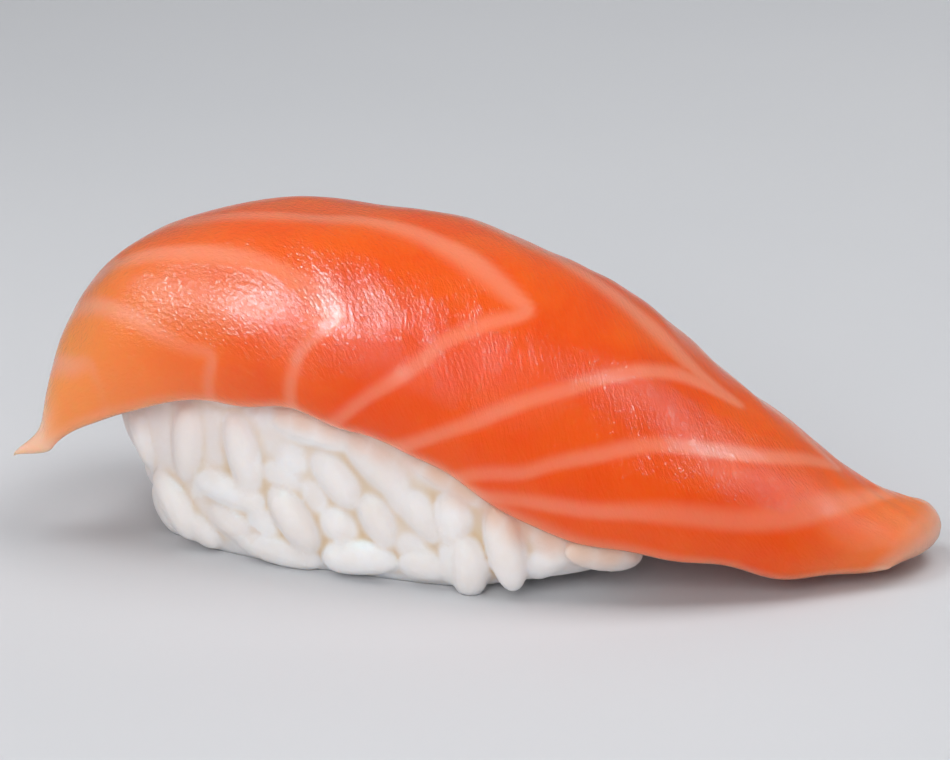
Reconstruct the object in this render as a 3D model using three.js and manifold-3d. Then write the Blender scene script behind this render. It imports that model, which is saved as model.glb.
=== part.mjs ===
// Salmon nigiri: a tapered slice of raw salmon draped over a hand-pressed block of rice.
// Millimetres, +Z up. The origin lies under the middle of the piece, on the surface it rests on.
// +X runs along the slice towards its cut tail end, and -Y is the near side.

import * as THREE from 'three';
import { mergeVertices } from 'three/addons/utils/BufferGeometryUtils.js';
import Module from 'manifold-3d';

const wasm = await Module();
wasm.setup();

// ---- Driving dimensions: the slice ----
// Each line is a smooth curve along the slice, from its thin end at place 0 to its cut tail at 1.

const SLICE_LINES = {
  crestX: [[0, -35.3], [0.06, -35.1], [0.14, -31.0], [0.26, -22.2], [0.4, -10.7], [0.9, 31.1], [1, 38.5]],
  crestY: [[0, -0.6], [0.4, -0.1], [0.68, 0.9], [0.8, 2.2], [0.9, 4.8], [1, 8.6]],
  crestZ: [[0, 12.8], [0.06, 17.8], [0.14, 22.2], [0.26, 25.1], [0.4, 25.7], [0.55, 23.6],
    [0.68, 18.3], [0.8, 10.8], [0.9, 5.3], [1, 2.4]],
  nearReach: [[0, 11.3], [0.06, 12.3], [0.14, 13.3], [0.26, 14.0], [0.55, 14.2], [0.68, 13.6],
    [0.8, 11.2], [0.9, 8.2], [1, 6.2]],
  nearDrop: [[0, 3.8], [0.06, 7.0], [0.14, 10.3], [0.26, 10.7], [0.4, 11.1], [0.55, 12.0],
    [0.68, 12.1], [0.8, 7.0], [0.9, 3.5], [1, 0.9]],
  farReach: [[0, 12.0], [0.14, 13.3], [0.26, 14.0], [0.55, 14.0], [0.68, 13.3], [0.8, 11.0],
    [0.9, 8.6], [0.95, 6.0], [1, 5.2]],
  farDrop: [[0, 4.0], [0.06, 7.0], [0.14, 10.0], [0.26, 11.0], [0.55, 12.0], [0.68, 10.5],
    [0.8, 7.4], [0.9, 3.0], [0.95, 0.2], [1, -1.4]],
  thickness: [[0, 1.8], [0.06, 3.0], [0.14, 4.4], [0.26, 5.6], [0.4, 6.0], [0.8, 5.8], [0.9, 5.0], [1, 3.6]],
  lean: [[0, 5], [0.1, 8], [0.4, 0], [0.8, -10], [1, 0]], // of the drape towards +X, degrees
  drape: [[0, 70], [0.1, 80], [0.7, 80], [0.9, 56], [1, 30]], // slope at the side edges, degrees
};
const SIDE_ROUNDING = 3.2; // exponent of the lens-shaped section: more is blunter
const END_ROUNDING = 3.0;
const THIN_END_SHARE = 0.06; // share of the length over which each end rounds off
const CUT_END_SHARE = 0.035;

// How far the tail stops short of its tip, from the near edge at -1 to the far edge at 1.
const TAIL_SHORTFALL = [[-1, 2.2], [-0.3, 0.1], [0.3, 0], [1, 2.0]];
const TAIL_START = 0.6; // place where the tail's skew begins

// The near corner of the thin end hangs as a flap, and its tip flares outwards.
const FLAP = { end: 0.18, inner: -0.5, out: 0.4, forward: 0.6, down: 3.4 };
const FLAP_TIP = { end: 0.06, inner: -0.74, out: 3.0, forward: 0.8, down: -1.5 };

const SLICE_ROWS = 48; // facets along the slice
const SLICE_COLUMNS = 18; // facets across it
const ALONG_CROWDING = 0.55; // how much closer together the facets are towards the slice's ends
const ACROSS_CROWDING = 0.6; // and towards its edges, 0 to 1

// ---- Driving dimensions: the rice ----

const RICE_CENTRE = { x: -3.2, y: -0.1 };
const RICE_SQUARENESS = 0.58; // 1 would make the plan an ellipse, and less makes it boxier
// Half sizes of the block, with how far its foot and its top run in, and over what height. A foot
// with a larger power runs in more suddenly.
const RICE_TAIL_END = { reach: 22.5, footInset: 11, footRise: 6, footPower: 3, topInset: 8, topRise: 12 };
const RICE_THIN_END = { reach: 28.6, footInset: 3.9, footRise: 11.5, footPower: 1.3, topInset: 6, topRise: 10 };
const RICE_SIDE = { reach: 13.8, footInset: 0.5, footRise: 4, footPower: 2, topInset: 4, topRise: 12 };
const RICE_TOP = 22;
const RICE_RINGS = 12;
const RICE_RING_POINTS = 44;
const CORE_INSET = 1.7; // the bare core lies this far inside the grains' outline
const TOUCHING_GAP = 0.3; // between the rice and the slice that lies on it

const GRAIN = { length: 7.2, width: 3.1, thickness: 2.6, bend: 0.35 };
const GRAIN_SIDES = 5;
const GRAIN_SPACING = 3.1; // least distance between the middles of two grains
const GRAIN_TRIES = 2600;
const GRAIN_HEIGHTS = [0.8, 16]; // lowest and highest middle of a grain that can show
const GRAIN_SIZES = [0.88, 1.08]; // smallest and largest, as shares of the usual size
const GRAIN_DEPTH = 0.7; // most that a grain is sunk below the outline
const GRAIN_PROBES = [[-0.4, 0.4], [0, 0.5], [0.4, 0.4]]; // share of the length, radius by thickness
const MOVE_STEPS = 6; // tries at moving a grain out of the slice
const LEAST_LENGTH = 0.7; // share of its length that a shortened grain keeps

// Grains that stand out on the near side: middle along X, height, slope of the grain down towards
// +X in degrees, and length.
const NEAR_GRAINS = [
  [-28.5, 9.0, 77, 7.0], [-22.5, 9.8, 96, 7.0], [-24.2, 3.6, 64, 7.0], [-16.6, 9.7, 74, 7.5],
  [-18.0, 6.2, 10, 8.0], [-18.0, 3.2, 25, 6.0], [-13.6, 1.3, 7, 8.5], [-11.7, 4.7, 55, 6.5],
  [-10.0, 12.9, 12, 9.0], [-7.7, 8.7, 47, 6.5], [-5.7, 1.8, -5, 7.0], [-4.0, 5.5, 62, 6.0],
  [-4.0, 10.1, 43, 8.0], [2.8, 9.9, 22, 8.0], [0.1, 6.5, 48, 6.5], [0.2, 1.9, -3, 5.0],
  [2.9, 6.5, 88, 5.5], [4.2, 2.3, 86, 6.0], [7.6, 4.8, 77, 8.4], [10.9, 2.6, -29, 5.0],
  [15.8, 3.7, 13, 7.5],
];

// ---- Materials ----

const salmonMaterial = new THREE.MeshStandardMaterial({ color: 0xe8602f, roughness: 0.35, metalness: 0 });
const riceMaterial = new THREE.MeshStandardMaterial({ color: 0xe6dfd6, roughness: 0.5, metalness: 0 });

// ---- Curves, steps and random draws ----

// Smooth function through [place, value] points: cubic pieces with shared slopes.
function smoothCurve(points) {
  const places = points.map((point) => point[0]);
  const values = points.map((point) => point[1]);
  const last = points.length - 1;
  const span = (i) => places[i + 1] - places[i];
  const rise = (i) => (values[i + 1] - values[i]) / span(i);
  const slopes = points.map((point, i) => {
    if (i === 0) return rise(0);
    if (i === last) return rise(last - 1);
    return (rise(i - 1) * span(i) + rise(i) * span(i - 1)) / (span(i - 1) + span(i));
  });
  return (place) => {
    const x = THREE.MathUtils.clamp(place, places[0], places[last]);
    let i = 0;
    while (i < last - 1 && x >= places[i + 1]) i += 1;
    const t = (x - places[i]) / span(i);
    const t2 = t * t;
    const t3 = t2 * t;
    return (2 * t3 - 3 * t2 + 1) * values[i]
      + (t3 - 2 * t2 + t) * span(i) * slopes[i]
      + (3 * t2 - 2 * t3) * values[i + 1]
      + (t3 - t2) * span(i) * slopes[i + 1];
  };
}

// 0 at `from`, 1 at `to`, smooth between them, whichever of the two is larger.
function smoothStep(from, to, x) {
  const t = THREE.MathUtils.clamp((x - from) / (to - from), 0, 1);
  return t * t * (3 - 2 * t);
}

// Height of a rounded edge: 1 inside it, falling to 0 where `x` reaches 1.
function rounded(x, power) {
  return Math.sqrt(1 - THREE.MathUtils.clamp(x, 0, 1) ** power);
}

// The same draws on every run: a linear congruential generator from 0 to 1.
function randomDraws(seed) {
  let state = seed;
  return () => {
    state = (state * 1664525 + 1013904223) % 4294967296;
    return state / 4294967296;
  };
}

// ---- Closed solids ----

// A geometry with its shared vertices merged and its empty triangles dropped.
function closedGeometry(geometry) {
  const bare = geometry.clone();
  bare.deleteAttribute('normal');
  bare.deleteAttribute('uv');
  const merged = mergeVertices(bare, 1e-4);
  const index = Array.from(merged.index.array);
  const kept = [];
  for (let i = 0; i < index.length; i += 3) {
    const [a, b, c] = index.slice(i, i + 3);
    if (a !== b && b !== c && c !== a) kept.push(a, b, c);
  }
  merged.setIndex(kept);
  return merged;
}

function toManifold(geometry) {
  return new wasm.Manifold(new wasm.Mesh({
    numProp: 3,
    vertProperties: new Float32Array(geometry.attributes.position.array),
    triVerts: new Uint32Array(geometry.index.array),
  }));
}

function toGeometry(manifold) {
  const mesh = manifold.getMesh();
  const geometry = new THREE.BufferGeometry();
  geometry.setAttribute('position', new THREE.BufferAttribute(mesh.vertProperties, 3));
  geometry.setIndex(new THREE.BufferAttribute(mesh.triVerts, 1));
  geometry.computeVertexNormals();
  return geometry;
}

// Closed solid between two grids of points with equal rows and columns, with walls between their
// borders. The upper grid's rows run towards +X and its columns towards +Y. The diagonals of the
// cells point at the grid's corners, so that no triangle lies on a border with all its points.
function solidBetween(upper, lower) {
  const positions = [];
  const quad = (a, b, c, d) => [a, b, c, a, c, d].forEach((p) => positions.push(p.x, p.y, p.z));
  const lastRow = upper.length - 1;
  const lastColumn = upper[0].length - 1;
  for (let i = 0; i < lastRow; i += 1) {
    for (let j = 0; j < lastColumn; j += 1) {
      if ((i < lastRow / 2) === (j < lastColumn / 2)) {
        quad(upper[i][j], upper[i + 1][j], upper[i + 1][j + 1], upper[i][j + 1]);
        quad(lower[i][j], lower[i][j + 1], lower[i + 1][j + 1], lower[i + 1][j]);
      } else {
        quad(upper[i + 1][j], upper[i + 1][j + 1], upper[i][j + 1], upper[i][j]);
        quad(lower[i + 1][j], lower[i][j], lower[i][j + 1], lower[i + 1][j + 1]);
      }
    }
    quad(lower[i][0], lower[i + 1][0], upper[i + 1][0], upper[i][0]);
    quad(upper[i][lastColumn], upper[i + 1][lastColumn], lower[i + 1][lastColumn], lower[i][lastColumn]);
  }
  for (let j = 0; j < lastColumn; j += 1) {
    quad(upper[0][j], upper[0][j + 1], lower[0][j + 1], lower[0][j]);
    quad(lower[lastRow][j], lower[lastRow][j + 1], upper[lastRow][j + 1], upper[lastRow][j]);
  }
  const geometry = new THREE.BufferGeometry();
  geometry.setAttribute('position', new THREE.Float32BufferAttribute(positions, 3));
  return closedGeometry(geometry);
}

// ---- The slice of salmon ----

const line = {};
for (const [name, points] of Object.entries(SLICE_LINES)) line[name] = smoothCurve(points);
const tailShortfall = smoothCurve(TAIL_SHORTFALL);

// Point of the slice's middle surface at place s along it and v across it, -1 near to 1 far.
function middlePoint(s, v) {
  const reach = v < 0 ? line.nearReach(s) : line.farReach(s);
  const drop = v < 0 ? line.nearDrop(s) : line.farDrop(s);
  const edgeAngle = THREE.MathUtils.degToRad(line.drape(s));
  const angle = Math.abs(v) * edgeAngle;
  const fall = drop * (1 - Math.cos(angle)) / (1 - Math.cos(edgeAngle));
  const lean = THREE.MathUtils.degToRad(line.lean(s));
  const tail = THREE.MathUtils.clamp((s - TAIL_START) / (1 - TAIL_START), 0, 1) ** 2;
  const point = new THREE.Vector3(
    line.crestX(s) + fall * Math.sin(lean) - tail * tailShortfall(v),
    line.crestY(s) + Math.sign(v) * reach * Math.sin(angle) / Math.sin(edgeAngle),
    line.crestZ(s) - fall * Math.cos(lean),
  );
  for (const bend of [FLAP, FLAP_TIP]) {
    const share = smoothStep(bend.end, 0, s) * smoothStep(bend.inner, -1, v);
    point.x -= bend.out * share;
    point.y -= bend.forward * share;
    point.z -= bend.down * share;
  }
  return point;
}

// Unit normal of the middle surface, pointing away from the rice.
function middleNormal(s, v) {
  const step = 1e-3;
  const along = middlePoint(Math.min(s + step, 1), v).sub(middlePoint(Math.max(s - step, 0), v));
  const across = middlePoint(s, Math.min(v + step, 1)).sub(middlePoint(s, Math.max(v - step, -1)));
  return along.cross(across).normalize();
}

function thicknessAt(s, v) {
  const sides = rounded(Math.abs(v), SIDE_ROUNDING);
  const thinEnd = rounded((THIN_END_SHARE - s) / THIN_END_SHARE, END_ROUNDING);
  const cutEnd = rounded((s - 1 + CUT_END_SHARE) / CUT_END_SHARE, END_ROUNDING);
  return line.thickness(s) * sides * thinEnd * cutEnd;
}

// Places along and across the slice, closer together towards its edges.
function placesAlong() {
  const places = [];
  for (let i = 0; i <= SLICE_ROWS; i += 1) {
    const u = i / SLICE_ROWS;
    places.push(u - ALONG_CROWDING * Math.sin(2 * Math.PI * u) / (2 * Math.PI));
  }
  return places;
}

function placesAcross() {
  const places = [];
  for (let j = 0; j <= SLICE_COLUMNS; j += 1) {
    const w = 2 * j / SLICE_COLUMNS - 1;
    places.push(ACROSS_CROWDING * Math.sin(w * Math.PI / 2) + (1 - ACROSS_CROWDING) * w);
  }
  return places;
}

// Grid of points at `share` of the half thickness above the middle surface, -1 for the underside.
function sliceFace(share) {
  return placesAlong().map((s) => placesAcross().map((v) => (
    middlePoint(s, v).addScaledVector(middleNormal(s, v), share * thicknessAt(s, v) / 2)
  )));
}

function makeSalmon() {
  return solidBetween(sliceFace(1), sliceFace(-1));
}

// ---- The block of rice ----

// Space between the resting surface and the slice, less the gap. Past the slice's edges its roof
// runs level, so rice that stands out beyond an edge stays below that edge.
function spaceUnderSlice() {
  const margin = 12;
  const least = 0.05;
  const roof = sliceFace(-1).map((row, i) => {
    const s = placesAlong()[i];
    return row.map((point, j) => {
      const v = placesAcross()[j];
      const lowered = point.addScaledVector(middleNormal(s, v), -TOUCHING_GAP);
      lowered.z = Math.max(lowered.z - TOUCHING_GAP * Math.abs(v) ** 6, least);
      return lowered;
    });
  });
  for (const row of roof) {
    const near = row[0].clone();
    const far = row[row.length - 1].clone();
    near.y -= margin;
    far.y += margin;
    row.unshift(near);
    row.push(far);
  }
  const pushed = (row, distance) => row.map((point) => new THREE.Vector3(point.x + distance, point.y, point.z));
  roof.unshift(pushed(roof[0], -margin));
  roof.push(pushed(roof[roof.length - 1], margin));
  const floor = roof.map((row) => row.map((point) => new THREE.Vector3(point.x, point.y, 0)));
  return toManifold(solidBetween(roof, floor));
}

// Half size of one side of the block at height z.
function reachAt(side, z) {
  const foot = THREE.MathUtils.clamp(1 - z / side.footRise, 0, 1);
  const top = THREE.MathUtils.clamp((z - RICE_TOP + side.topRise) / side.topRise, 0, 1);
  return side.reach
    - side.footInset * foot ** side.footPower
    - side.topInset * (1 - Math.sqrt(1 - top ** 2));
}

// Point of the grains' outline at an angle round the block and a height.
function outlinePoint(angle, z, inset = 0) {
  const squared = (x) => Math.sign(x) * Math.abs(x) ** RICE_SQUARENESS;
  const end = Math.cos(angle) > 0 ? RICE_TAIL_END : RICE_THIN_END;
  return new THREE.Vector3(
    RICE_CENTRE.x + (reachAt(end, z) - inset) * squared(Math.cos(angle)),
    RICE_CENTRE.y + (reachAt(RICE_SIDE, z) - inset) * squared(Math.sin(angle)),
    z,
  );
}

function makeCore() {
  const rings = [];
  for (let i = 0; i <= RICE_RINGS; i += 1) {
    const z = RICE_TOP * i / RICE_RINGS;
    const ring = [];
    for (let j = 0; j < RICE_RING_POINTS; j += 1) {
      ring.push(outlinePoint(2 * Math.PI * j / RICE_RING_POINTS, z, CORE_INSET));
    }
    rings.push(ring);
  }
  const positions = [];
  const triangle = (a, b, c) => [a, b, c].forEach((p) => positions.push(p.x, p.y, p.z));
  const footMiddle = new THREE.Vector3(RICE_CENTRE.x, RICE_CENTRE.y, 0);
  const topMiddle = new THREE.Vector3(RICE_CENTRE.x, RICE_CENTRE.y, RICE_TOP);
  for (let j = 0; j < RICE_RING_POINTS; j += 1) {
    const k = (j + 1) % RICE_RING_POINTS;
    triangle(footMiddle, rings[0][k], rings[0][j]);
    triangle(topMiddle, rings[RICE_RINGS][j], rings[RICE_RINGS][k]);
    for (let i = 0; i < RICE_RINGS; i += 1) {
      triangle(rings[i][j], rings[i][k], rings[i + 1][k]);
      triangle(rings[i][j], rings[i + 1][k], rings[i + 1][j]);
    }
  }
  const geometry = new THREE.BufferGeometry();
  geometry.setAttribute('position', new THREE.Float32BufferAttribute(positions, 3));
  return toManifold(closedGeometry(geometry));
}

// ---- Grains ----

// Middle surface points that a grain is kept clear of.
function sliceSamples() {
  const samples = [];
  for (const s of placesAlong()) {
    for (const v of placesAcross()) {
      const normal = middleNormal(s, v);
      samples.push({ point: middlePoint(s, v), normal, half: thicknessAt(s, v) / 2 });
    }
  }
  return samples;
}

// Where a grain cuts deepest into the slice: how deep, and the way out.
function deepestCrossing(grain, samples) {
  let depth = 0;
  let wayOut = null;
  for (const [share, radiusShare] of GRAIN_PROBES) {
    const probe = grain.middle.clone().addScaledVector(grain.axis, share * grain.length);
    const radius = grain.thickness * radiusShare;
    for (const { point, normal, half } of samples) {
      const overlap = half + radius - probe.distanceTo(point);
      if (overlap > depth) {
        depth = overlap;
        wayOut = normal.clone().negate();
      }
    }
  }
  return { depth, wayOut };
}

// The grain moved out of the slice, else shortened, else skipped.
function fittedGrain(grain, samples) {
  for (const length of [grain.length, grain.length * LEAST_LENGTH]) {
    const fitted = { ...grain, length, middle: grain.middle.clone() };
    for (let step = 0; step < MOVE_STEPS; step += 1) {
      const { depth, wayOut } = deepestCrossing(fitted, samples);
      if (depth < TOUCHING_GAP) return fitted;
      fitted.middle.addScaledVector(wayOut, depth);
    }
  }
  return null;
}

// A grain lying on the outline, sunk by its half thickness and `depth`, its long axis sloping
// down by `slope` degrees as it runs round the block.
function grainOnOutline(angle, z, slope, depth, size) {
  const step = 1e-3;
  const point = outlinePoint(angle, z);
  const round = outlinePoint(angle + step, z).sub(outlinePoint(angle - step, z)).normalize();
  const rise = outlinePoint(angle, z + step).sub(outlinePoint(angle, Math.max(z - step, 0))).normalize();
  const outwards = round.clone().cross(rise).normalize();
  const turn = THREE.MathUtils.degToRad(slope);
  const up = outwards.clone().cross(round).normalize();
  const axis = round.clone().multiplyScalar(Math.cos(turn)).addScaledVector(up, -Math.sin(turn));
  const thickness = GRAIN.thickness * size;
  return {
    middle: point.addScaledVector(outwards, -thickness / 2 - depth),
    axis,
    outwards,
    length: GRAIN.length * size,
    width: GRAIN.width * size,
    thickness,
  };
}

// Angle round the near side of the block at which its outline lies at x.
function nearAngle(x, z) {
  const end = x > RICE_CENTRE.x ? RICE_TAIL_END : RICE_THIN_END;
  const share = THREE.MathUtils.clamp((x - RICE_CENTRE.x) / reachAt(end, z), -0.995, 0.995);
  return -Math.acos(Math.sign(share) * Math.abs(share) ** (1 / RICE_SQUARENESS));
}

function placeGrains() {
  const random = randomDraws(7);
  const between = ([low, high]) => low + (high - low) * random();
  const samples = sliceSamples();
  const grains = [];
  for (const [x, z, slope, length] of NEAR_GRAINS) {
    const grain = grainOnOutline(nearAngle(x, z), z, slope, 0, 1);
    grains.push(fittedGrain({ ...grain, length }, samples));
  }
  const placed = grains.filter((grain) => grain !== null);
  for (let i = 0; i < GRAIN_TRIES; i += 1) {
    const angle = 2 * Math.PI * random();
    const z = between(GRAIN_HEIGHTS);
    const slope = 180 * random();
    const depth = GRAIN_DEPTH * random() ** 2;
    const size = between(GRAIN_SIZES);
    const grain = grainOnOutline(angle, z, slope, depth, size);
    const crowded = placed.some((other) => other.middle.distanceTo(grain.middle) < GRAIN_SPACING);
    const fitted = crowded ? null : fittedGrain(grain, samples);
    if (fitted !== null) placed.push(fitted);
  }
  return placed;
}

function makeGrain({ middle, axis, outwards, length, width, thickness }) {
  const profile = [[0, -0.5], [0.4, -0.33], [0.5, 0.04], [0.36, 0.38], [0, 0.5]];
  const points = profile.map(([radius, height]) => new THREE.Vector2(radius * width, height * length));
  const geometry = new THREE.LatheGeometry(points, GRAIN_SIDES);
  geometry.scale(1, 1, thickness / width);
  const position = geometry.attributes.position;
  for (let i = 0; i < position.count; i += 1) {
    const along = 2 * position.getY(i) / length;
    position.setX(i, position.getX(i) + GRAIN.bend * (along * along - 0.5));
  }
  const side = new THREE.Vector3().crossVectors(axis, outwards).normalize();
  const turn = new THREE.Matrix4().makeBasis(side, axis, new THREE.Vector3().crossVectors(side, axis));
  geometry.applyMatrix4(turn);
  geometry.translate(middle.x, middle.y, middle.z);
  return toManifold(closedGeometry(geometry));
}

function makeRice() {
  const pieces = [makeCore(), ...placeGrains().map(makeGrain)];
  const heap = wasm.Manifold.union(pieces).intersect(spaceUnderSlice());
  const parts = heap.decompose();
  parts.sort((a, b) => b.volume() - a.volume());
  return toGeometry(parts[0]);
}

// ---- The nigiri ----

function namedMesh(name, geometry, material) {
  const mesh = new THREE.Mesh(geometry, material);
  mesh.name = name;
  return mesh;
}

const nigiri = new THREE.Group();
nigiri.add(namedMesh('salmon', makeSalmon(), salmonMaterial));
nigiri.add(namedMesh('rice', makeRice(), riceMaterial));

export default nigiri;
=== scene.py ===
"""Salmon nigiri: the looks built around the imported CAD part.

Lengths are written in millimetres and become metres when a mesh or a light is made.
The slice and the rice follow the same curves and rules as the CAD part, with finer detail.
"""

import math

import bpy
import numpy as np
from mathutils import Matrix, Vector
from mathutils.kdtree import KDTree


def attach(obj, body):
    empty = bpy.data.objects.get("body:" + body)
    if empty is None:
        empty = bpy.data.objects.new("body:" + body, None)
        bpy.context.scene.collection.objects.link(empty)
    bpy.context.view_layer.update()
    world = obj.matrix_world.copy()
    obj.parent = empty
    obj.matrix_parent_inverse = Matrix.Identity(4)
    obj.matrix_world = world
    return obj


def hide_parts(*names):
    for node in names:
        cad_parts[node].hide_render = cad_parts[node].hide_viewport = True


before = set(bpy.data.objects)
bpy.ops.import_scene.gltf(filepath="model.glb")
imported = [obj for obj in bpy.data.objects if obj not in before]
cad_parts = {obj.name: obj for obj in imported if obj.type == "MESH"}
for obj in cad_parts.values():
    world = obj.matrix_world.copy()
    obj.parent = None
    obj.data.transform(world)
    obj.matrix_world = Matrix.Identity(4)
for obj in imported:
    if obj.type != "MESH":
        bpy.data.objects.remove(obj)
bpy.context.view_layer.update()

MM = 0.001

# ---- The camera: the photograph's viewing angle ----

VIEW_AZIMUTH = 22.0  # degrees, turned from straight on towards the cut tail end
VIEW_ELEVATION = 17.0
VIEW_DISTANCE = 350.0  # mm
VIEW_TARGET = (1.25, -4.1, 16.0)  # mm
PHOTO_WIDTH = 950
MM_PER_PIXEL = 0.085  # at the target
SENSOR_WIDTH = 36.0  # mm

# ---- The studio's lights ----

LIT_POINT = (0, 0, 15)  # mm, where the lights are aimed
GLOSS_COLOR = (0.28, 0.92, 1.0)  # of the lights that only show as reflections in the wet surface
SKY_COLOR = (0.95, 0.97, 1.0, 1)
SKY_STRENGTH = 0.2
FLOOR_REACH = 1500.0  # mm from the middle to each side

# Azimuth and elevation in degrees with the distance in mm, width and height in mm, power in W.
# The first lights shade the surfaces, and the others only show as reflections.
SHADE_LIGHTS = {
    "key": ((-65, 68, 380), (250, 150), 0.48),
    "top": ((120, 66, 400), (300, 200), 0.64),
    "front": ((5, 25, 450), (420, 260), 1.25),
    "back": ((175, 24, 450), (500, 120), 0.3),
}
GLOSS_LIGHTS = {
    "key_gloss": ((-47, 57, 380), (240, 80), 2.7),
    "front_gloss": ((-3, 33, 420), (24, 130), 0.35),
    "left_gloss": ((-75, 42, 420), (200, 80), 0.3),
    "right_gloss": ((105, 43, 420), (70, 45), 0.55),
    "back_gloss": ((175, 24, 450), (500, 120), 0.06),
}

# ---- Colours, as display values of 0 to 255 ----

SALMON_COLORS = {
    "flesh": (232, 80, 6),
    "lighter_flesh": (236, 92, 14),
    "fibres": (240, 118, 60),
    # paler flesh where the slice is thin: partly its own paler tone, partly painted glow of light through
    # it
    "thin_flesh_glow": (245, 154, 84),
    "fat": (246, 160, 130),
    # painted sheen and glow of light through the thin edges, on the sides, the ends and the flap's tip
    "painted_edge_sheen": (244, 192, 164),
}
RICE_COLORS = {
    "grain": (234, 227, 224),
    "lighter_grain": (240, 238, 238),
    "clouds": (231, 222, 216),
    # painted warm shade in the gaps between the grains
    "gap_shade": (222, 194, 152),
    # painted shade and orange bounce light from the slice, on the rice near it
    "slice_bounce_shade": (228, 195, 176),
}
FLOOR_COLORS = {"darker": (204, 206, 210), "lighter": (212, 213, 216)}

# ---- The slice, as in the CAD part ----

SLICE_LINES = {
    "crest_x": [(0, -35.3), (0.06, -35.1), (0.14, -31.0), (0.26, -22.2), (0.4, -10.7), (0.9, 31.1),
                (1, 38.5)],
    "crest_y": [(0, -0.6), (0.4, -0.1), (0.68, 0.9), (0.8, 2.2), (0.9, 4.8), (1, 8.6)],
    "crest_z": [(0, 12.8), (0.06, 17.8), (0.14, 22.2), (0.26, 25.1), (0.4, 25.7), (0.55, 23.6),
                (0.68, 18.3), (0.8, 10.8), (0.9, 5.3), (1, 2.4)],
    "near_reach": [(0, 11.3), (0.06, 12.3), (0.14, 13.3), (0.26, 14.0), (0.55, 14.2), (0.68, 13.6),
                   (0.8, 11.2), (0.9, 8.2), (1, 6.2)],
    "near_drop": [(0, 3.8), (0.06, 7.0), (0.14, 10.3), (0.26, 10.7), (0.4, 11.1), (0.55, 12.0),
                  (0.68, 12.1), (0.8, 7.0), (0.9, 3.5), (1, 0.9)],
    "far_reach": [(0, 12.0), (0.14, 13.3), (0.26, 14.0), (0.55, 14.0), (0.68, 13.3), (0.8, 11.0),
                  (0.9, 8.6), (0.95, 6.0), (1, 5.2)],
    "far_drop": [(0, 4.0), (0.06, 7.0), (0.14, 10.0), (0.26, 11.0), (0.55, 12.0), (0.68, 10.5),
                 (0.8, 7.4), (0.9, 3.0), (0.95, 0.2), (1, -1.4)],
    "thickness": [(0, 1.8), (0.06, 3.0), (0.14, 4.4), (0.26, 5.6), (0.4, 6.0), (0.8, 5.8), (0.9, 5.0),
                  (1, 3.6)],
    # The lean of the drape towards +X, and its slope at the side edges, in degrees
    "lean": [(0, 5), (0.1, 8), (0.4, 0), (0.8, -10), (1, 0)],
    "drape": [(0, 70), (0.1, 80), (0.7, 80), (0.9, 56), (1, 30)],
}
SIDE_ROUNDING = 3.2  # powers that round the edges
END_ROUNDING = 3.0
THIN_END_SHARE = 0.06  # shares of the length over which the ends are rounded
CUT_END_SHARE = 0.035
TAIL_SHORTFALL = [(-1, 2.2), (-0.3, 0.1), (0.3, 0), (1, 2.0)]  # mm, across the slice
TAIL_START = 0.6
FLAP = {"end": 0.18, "inner": -0.5, "out": 0.4, "forward": 0.6, "down": 3.4}
FLAP_TIP = {"end": 0.06, "inner": -0.74, "out": 3.0, "forward": 0.8, "down": -1.5}

CAD_ROWS = 48  # the CAD part's facets, which its grains are fitted to
CAD_COLUMNS = 18
SLICE_ROWS = 330
SLICE_COLUMNS = 116
SLICE_SPAN = (85.0, 20.0)  # mm along the slice, and from its crest to an edge
END_CROWDING = 0.55  # how much closer the rows get towards the ends
SIDE_CROWDING = 0.6  # how much closer the columns get towards the side edges
EVEN_STEPS = 60  # of smoothing under the flap, where the bend is tighter than the slice is thick
UNDER_FLAP = {"along": (0.1, 0.03), "across": (-0.7, -0.85)}  # where that smoothing sets in

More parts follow.
